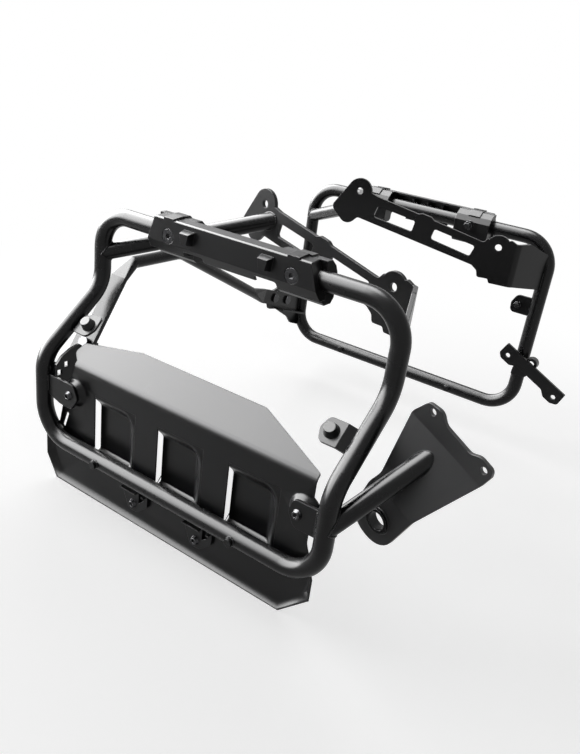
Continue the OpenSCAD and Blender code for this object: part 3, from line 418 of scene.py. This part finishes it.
for left, side in ((False, "right"), (True, "left")):
    place = left_place if left else right_place
    side_ring(f"weld_brace_tube_low_{side}", left, BRACE_START, BRACE_DIR, TUBE_R,
              lift_to_tube(BRACE_START, BRACE_DIR, TUBE_R, BRACE_START, UP))
    side_ring(f"weld_brace_tube_high_{side}", left, BRACE_START, BRACE_DIR, TUBE_R,
              lift_to_plane(BRACE_START, BRACE_DIR, TUBE_R, PLATE_FACE, PLATE_NORMAL))
    # the bracket's folded arm, on both faces where it meets the upright
    for k, s in enumerate((-1, 1)):
        foot = Vector((HALF_W, 0.0, 0.0)) - ARM_DIR * SEAM_R + ARM_FACE * ARM_HALF_T * s
        weld_seam(f"weld_bracket_arm_{side}_{k}",
                  [place(p) for p in along(foot + UP * ARM_LOW, foot + UP * ARM_HIGH, 10)])
    bottom_y = 0.0 if left else -JOGGLE_OUT
    for k, x in enumerate((-PIN_X, PIN_X)):
        for way in ((-1, 1) if left else (-1,)):
            start = Vector((x, bottom_y, 0.0))
            end = "in" if way > 0 else "out"
            side_ring(f"weld_hook_pin_{side}_{k}_{end}", left, start, INBOARD * way, PIN_R,
                      lift_to_tube(start, INBOARD * way, PIN_R, start, FORWARD), PIN_BEAD)

# Support tube and foot plate
FOOT_ORIGIN = Vector((211.6, -19.0, 157.2))
FOOT_PLAN, FOOT_DROP = math.radians(12.0), math.radians(22.3)
FOOT_DIP, FOOT_LEAN = math.radians(10.0), math.radians(6.0)
FOOT_ALONG = Vector((math.cos(FOOT_PLAN) * math.cos(FOOT_DROP), -math.sin(FOOT_PLAN) * math.cos(FOOT_DROP),
                     -math.sin(FOOT_DROP)))
FOOT_OUT = Vector((-math.sin(FOOT_PLAN), -math.cos(FOOT_PLAN), 0.0))
FOOT_UP = FOOT_OUT.cross(FOOT_ALONG)
SUPPORT_HEIGHT, SUPPORT_ALONG, SUPPORT_BELOW = 56.5, 31.5, 30.0
SUPPORT_START = Vector((HALF_W, -JOGGLE_OUT, SUPPORT_HEIGHT))
SUPPORT_END = (FOOT_ORIGIN + FOOT_ALONG * SUPPORT_ALONG
               + (FOOT_OUT * math.sin(FOOT_DIP) - FOOT_UP * math.cos(FOOT_DIP)) * SUPPORT_BELOW)
SUPPORT_DIR = (SUPPORT_END - SUPPORT_START).normalized()
FOOT_FACE_NORMAL = FOOT_OUT * math.cos(FOOT_DIP) + FOOT_UP * math.sin(FOOT_DIP)
side_ring("weld_support_tube_low", False, SUPPORT_START, SUPPORT_DIR, TUBE_R,
          lift_to_tube(SUPPORT_START, SUPPORT_DIR, TUBE_R, SUPPORT_START, UP))
side_ring("weld_support_tube_high", False, SUPPORT_START, SUPPORT_DIR, TUBE_R,
          lift_to_plane(SUPPORT_START, SUPPORT_DIR, TUBE_R, FOOT_ORIGIN, FOOT_FACE_NORMAL), SLIM_BEAD)

# Ring in the foot plate's lower flange
FOOT_FACE_HEIGHT = 71.2
RING_ALONG, RING_BELOW = 34.5, 100.0
RING_BEAD_R, RING_LIFT = 12.4, 0.2
LOW_FOLD_UP, LOW_FOLD_OUT = -FOOT_FACE_HEIGHT * math.cos(FOOT_DIP), FOOT_FACE_HEIGHT * math.sin(FOOT_DIP)
RING_CENTRE = (FOOT_ORIGIN + FOOT_ALONG * RING_ALONG - FOOT_UP * RING_BELOW
               + FOOT_OUT * (LOW_FOLD_OUT + (-RING_BELOW - LOW_FOLD_UP) * math.tan(FOOT_LEAN)))
RING_AXIS = FOOT_OUT * math.cos(FOOT_LEAN) - FOOT_UP * math.sin(FOOT_LEAN)
side_ring("weld_foot_ring", False, RING_CENTRE, RING_AXIS, RING_BEAD_R, lambda around: RING_LIFT)

# Shield tabs, where each meets its upright: which end, its sign, and the seam's lowest and highest point
TAB_SEAMS = (("rear", -1, 53.0, 71.0), ("front", 1, 44.5, 70.0))
TAB_FACES = (-79.9, -76.1)
for side, s, low, high in TAB_SEAMS:
    for k, y in enumerate(TAB_FACES):
        x = s * (HALF_W - SEAM_R)
        weld_seam(f"weld_shield_tab_{side}_{k}",
                  [right_place(p) for p in along((x, y, low), (x, y, high), 10)])

# Plate of the left brace bracket, along the upright
PLATE_FACES = (-183.9, -180.3)
PLATE_LOW, PLATE_HIGH = 40.0, 90.0
for k, x in enumerate(PLATE_FACES):
    weld_seam(f"weld_brace_bracket_left_{k}",
              [left_place(p) for p in along((x, SEAM_R, PLATE_LOW), (x, SEAM_R, PLATE_HIGH), 16)], PLATE_BEAD)


# Pressed louvres

SHIELD_BEHIND = 9.3
SHIELD_Y = -JOGGLE_OUT + SHIELD_BEHIND
LOUVRE_PITCH, LOUVRE_SHIFT = 90.0, -22.5
LOUVRE_W, LOUVRE_LOW, LOUVRE_TOP = 58.0, -4.0, 65.0
LOUVRE_CORNER = 18.0
TOP_BLEND, LOW_BLEND, LOUVRE_SINK = 14.0, 5.0, 8.8
SKIN_PROUD, SKIN_T = 0.03, 0.8
MARGIN, TUCK = 3.0, 0.5
WINDOW_INSET = 1.0
CUT_BEFORE, CUT_BEHIND = 2.0, 16.0
MERGE_WITHIN = 0.002
SKIN_COLUMNS, SKIN_ROWS = 61, 75
SKIN_SMOOTH, SHEET_SMOOTH = math.radians(40), math.radians(24)
LOUVRE_STARTS = [i * LOUVRE_PITCH + LOUVRE_SHIFT for i in (-1, 0, 1)]


def louvre_depth(x, z):
    """How far the pressing lies behind the face, at x from the slit and at height z."""
    across = x - (LOUVRE_W - LOUVRE_CORNER)
    up = z - (LOUVRE_TOP - LOUVRE_CORNER)
    outside = math.hypot(max(across, 0.0), max(up, 0.0)) + min(max(across, up), 0.0)
    inside = LOUVRE_CORNER - outside
    share = min(1.0, max(0.0, inside / TOP_BLEND))
    lower = min(1.0, max(0.0, (z - LOUVRE_LOW) / LOW_BLEND))
    beyond = max(0.0, -inside, LOUVRE_LOW - z)
    smooth = share * share * (3.0 - 2.0 * share) * lower * lower * (3.0 - 2.0 * lower)
    return LOUVRE_SINK * smooth - SKIN_PROUD + (SKIN_PROUD + TUCK) * min(1.0, beyond / MARGIN) ** 2


def louvre_skin(name, x0):
    """The smooth pressing of one louvre: a grid sunk behind the face and given its thickness."""
    clear_selection()
    bpy.ops.mesh.primitive_grid_add(x_subdivisions=SKIN_COLUMNS, y_subdivisions=SKIN_ROWS, size=1.0)
    piece = bpy.context.object
    wide, tall = LOUVRE_W + MARGIN, LOUVRE_TOP - LOUVRE_LOW + 2 * MARGIN
    for v in piece.data.vertices:
        x = (v.co.x + 0.5) * wide
        z = (v.co.y + 0.5) * tall + LOUVRE_LOW - MARGIN
        v.co = right_place((x0 + x, SHIELD_Y + louvre_depth(x, z), z))
    solid = piece.modifiers.new("thickness", "SOLIDIFY")
    solid.thickness = SKIN_T * MM
    solid.offset = -1.0
    bpy.ops.object.modifier_apply(modifier=solid.name)
    adopt(piece, name, shield_coat)
    bpy.ops.object.shade_smooth_by_angle(angle=SKIN_SMOOTH)


def pressed_shield():
    """The shield's sheet with a window cut where each pressing goes."""
    sheet = nodes["heat_shield"].copy()
    sheet.data = nodes["heat_shield"].data.copy()
    bpy.context.scene.collection.objects.link(sheet)
    clear_selection()
    sheet.select_set(True)
    bpy.context.view_layer.objects.active = sheet
    bpy.ops.object.mode_set(mode="EDIT")
    bpy.ops.mesh.select_all(action="SELECT")
    bpy.ops.mesh.remove_doubles(threshold=MERGE_WITHIN * MM)
    bpy.ops.object.mode_set(mode="OBJECT")
    for x0 in LOUVRE_STARTS:
        low = right_place((x0, SHIELD_Y - CUT_BEFORE, LOUVRE_LOW - WINDOW_INSET))
        high = right_place((x0 + LOUVRE_W + WINDOW_INSET, SHIELD_Y + CUT_BEHIND, LOUVRE_TOP + WINDOW_INSET))
        clear_selection()
        bpy.ops.mesh.primitive_cube_add(size=1.0, location=(low + high) / 2)
        cutter = bpy.context.object
        cutter.scale = high - low
        window = sheet.modifiers.new("window", "BOOLEAN")
        window.operation = "DIFFERENCE"
        window.solver = "EXACT"
        window.object = cutter
        clear_selection()
        sheet.select_set(True)
        bpy.context.view_layer.objects.active = sheet
        bpy.ops.object.modifier_apply(modifier=window.name)
        bpy.data.objects.remove(cutter)
    adopt(sheet, "heat_shield_sheet", shield_coat)
    bpy.ops.object.shade_smooth_by_angle(angle=SHEET_SMOOTH)
    weighted = sheet.modifiers.new("flat faces lead", "WEIGHTED_NORMAL")
    weighted.weight = 100
    weighted.keep_sharp = True
    bpy.ops.object.modifier_apply(modifier=weighted.name)
    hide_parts("heat_shield")


pressed_shield()
for number, x0 in enumerate(LOUVRE_STARTS, 1):
    louvre_skin(f"louvre_pressing_{number}", x0)


# Light and stage

FLOOR_Z = cad_box[0][2]
FLOOR_SIZE = 12.0
CENTRE = Vector((0.06, 0.02, -0.15))
ROOM_LEVEL = 0.12
# Cards that only gloss sees: the way to each, its half width and its soft edge in degrees
CARDS = (((-0.80, -0.17, 0.53), 27.0, 26.0),
         ((-0.36, 0.02, 0.93), 8.0, 24.0))
CARD_LEVEL = 29.0
PAPER_TONE = 0.6
PAPER_FILL = 0.6
FADE_START, FADE_END = 0.45, 1.0


def softbox(name, direction, distance, width, height, radiance):
    """A square lamp of even brightness that faces the middle of the object."""
    lamp = bpy.data.lights.new(name, "AREA")
    lamp.shape = "RECTANGLE"
    lamp.size = width
    lamp.size_y = height
    lamp.energy = radiance * math.pi * width * height
    holder = bpy.data.objects.new(name, lamp)
    holder.visible_glossy = False
    bpy.context.scene.collection.objects.link(holder)
    away = Vector(direction).normalized()
    holder.location = CENTRE + away * distance
    holder.rotation_euler = (-away).to_track_quat("-Z", "Y").to_euler()


softbox("softbox_behind", (-0.50, 0.76, 0.62), 2.4, 2.4, 1.2, 2.4)
softbox("softbox_left", (-0.85, -0.23, 0.75), 1.8, 1.4, 1.2, 2.8)
softbox("softbox_front", (0.75, -0.55, 0.55), 2.2, 0.8, 0.8, 1.2)


def seen_background(tree):
    """One where a camera, glossy or transmitted ray arrives; and one where a glossy ray does."""
    path = wire(tree, "ShaderNodeLightPath", (-900, 300))
    either = wire(tree, "ShaderNodeMath", (-700, 300), operation="MAXIMUM")
    any_of = wire(tree, "ShaderNodeMath", (-500, 300), operation="MAXIMUM")
    tree.links.new(path.outputs["Is Camera Ray"], either.inputs[0])
    tree.links.new(path.outputs["Is Glossy Ray"], either.inputs[1])
    tree.links.new(either.outputs[0], any_of.inputs[0])
    tree.links.new(path.outputs["Is Transmission Ray"], any_of.inputs[1])
    return any_of.outputs[0], path.outputs["Is Glossy Ray"]


def card_mask(tree):
    """One where a ray's direction meets a card, falling to nothing over the card's soft edge."""
    gaze = wire(tree, "ShaderNodeTexCoord", (-1100, -200))
    panels = None
    for direction, half_width, soft_edge in CARDS:
        toward = wire(tree, "ShaderNodeVectorMath", (-900, -200), operation="DOT_PRODUCT")
        toward.inputs[1].default_value = Vector(direction).normalized()
        spot = wire(tree, "ShaderNodeMapRange", (-700, -200), interpolation_type="SMOOTHSTEP")
        spot.inputs["From Min"].default_value = math.cos(math.radians(half_width + soft_edge))
        spot.inputs["From Max"].default_value = math.cos(math.radians(half_width))
        tree.links.new(gaze.outputs["Generated"], toward.inputs[0])
        tree.links.new(toward.outputs["Value"], spot.inputs["Value"])
        if panels is None:
            panels = spot.outputs["Result"]
            continue
        both = wire(tree, "ShaderNodeMath", (-500, -200), operation="MAXIMUM")
        tree.links.new(panels, both.inputs[0])
        tree.links.new(spot.outputs["Result"], both.inputs[1])
        panels = both.outputs[0]
    return panels


def studio_world():
    """White to the camera and in gloss, where the cards are brighter; a dim room to the rest."""
    world = bpy.data.worlds.new("studio")
    bpy.context.scene.world = world
    world.use_nodes = True
    tree = world.node_tree
    tree.nodes.clear()
    white = wire(tree, "ShaderNodeBackground", (200, 200))
    room = wire(tree, "ShaderNodeBackground", (200, 0))
    room.inputs["Strength"].default_value = ROOM_LEVEL
    for background in (white, room):
        background.inputs["Color"].default_value = (1.0, 1.0, 1.0, 1.0)
    choose = wire(tree, "ShaderNodeMixShader", (400, 100))
    result = wire(tree, "ShaderNodeOutputWorld", (600, 100))
    seen, glossy = seen_background(tree)
    in_gloss = wire(tree, "ShaderNodeMath", (-300, -100), operation="MULTIPLY")
    level = wire(tree, "ShaderNodeMath", (-100, 100), operation="MULTIPLY_ADD")
    level.inputs[1].default_value = CARD_LEVEL - 1.0
    level.inputs[2].default_value = 1.0
    tree.links.new(card_mask(tree), in_gloss.inputs[0])
    tree.links.new(glossy, in_gloss.inputs[1])
    tree.links.new(in_gloss.outputs[0], level.inputs[0])
    tree.links.new(level.outputs[0], white.inputs["Strength"])
    tree.links.new(seen, choose.inputs["Fac"])
    tree.links.new(room.outputs["Background"], choose.inputs[1])
    tree.links.new(white.outputs["Background"], choose.inputs[2])
    tree.links.new(choose.outputs["Shader"], result.inputs["Surface"])
    world.cycles.sampling_method = "NONE"


def paper_floor():
    """White paper that keeps the object's shadow and fades to plain white further out."""
    clear_selection()
    bpy.ops.mesh.primitive_plane_add(size=FLOOR_SIZE, location=(0.0, 0.0, FLOOR_Z))
    floor = bpy.context.object
    floor.name = "floor"
    paper = bpy.data.materials.new("white paper floor")
    paper.use_nodes = True
    tree = paper.node_tree
    tree.nodes.clear()
    matt = wire(tree, "ShaderNodeBsdfDiffuse", (-300, 200))
    matt.inputs["Color"].default_value = (PAPER_TONE, PAPER_TONE, PAPER_TONE, 1.0)
    fill = wire(tree, "ShaderNodeEmission", (-300, 0))
    fill.inputs["Strength"].default_value = PAPER_FILL
    lifted = wire(tree, "ShaderNodeAddShader", (-50, 100))
    far_white = wire(tree, "ShaderNodeEmission", (-50, -150))
    coord = wire(tree, "ShaderNodeTexCoord", (-900, -100))
    reach = wire(tree, "ShaderNodeVectorMath", (-700, -100), operation="LENGTH")
    fade = wire(tree, "ShaderNodeMapRange", (-500, -100), interpolation_type="SMOOTHSTEP")
    fade.inputs["From Min"].default_value = FADE_START
    fade.inputs["From Max"].default_value = FADE_END
    spread_out = wire(tree, "ShaderNodeMixShader", (100, 0))
    seen = seen_background(tree)[0]
    choose = wire(tree, "ShaderNodeMixShader", (300, 200))
    result = wire(tree, "ShaderNodeOutputMaterial", (500, 200))
    tree.links.new(coord.outputs["Object"], reach.inputs[0])
    tree.links.new(reach.outputs["Value"], fade.inputs["Value"])
    tree.links.new(matt.outputs["BSDF"], lifted.inputs[0])
    tree.links.new(fill.outputs["Emission"], lifted.inputs[1])
    tree.links.new(fade.outputs["Result"], spread_out.inputs["Fac"])
    tree.links.new(lifted.outputs["Shader"], spread_out.inputs[1])
    tree.links.new(far_white.outputs["Emission"], spread_out.inputs[2])
    tree.links.new(seen, choose.inputs["Fac"])
    tree.links.new(matt.outputs["BSDF"], choose.inputs[1])
    tree.links.new(spread_out.outputs["Shader"], choose.inputs[2])
    tree.links.new(choose.outputs["Shader"], result.inputs["Surface"])
    floor.data.materials.append(paper)


studio_world()
paper_floor()


# Camera, at the photograph's place and angle

PHOTO_HEIGHT = 754.0
FOCAL_PIXELS = 713.985
SENSOR_HEIGHT = 36.0
CAMERA_PLACE = (0.450483, -0.628171, 0.147034)
CAMERA_TURN = Quaternion((0.789009, 0.532147, 0.113703, 0.285229))

camera = bpy.data.objects.new("camera", bpy.data.cameras.new("camera"))
bpy.context.scene.collection.objects.link(camera)
bpy.context.scene.camera = camera
camera.data.sensor_fit = "VERTICAL"
camera.data.sensor_height = SENSOR_HEIGHT
camera.data.lens = SENSOR_HEIGHT * FOCAL_PIXELS / PHOTO_HEIGHT
camera.data.clip_start = 0.01
camera.matrix_world = Matrix.Translation(CAMERA_PLACE) @ CAMERA_TURN.to_matrix().to_4x4()

bpy.context.scene.view_settings.view_transform = "Standard"
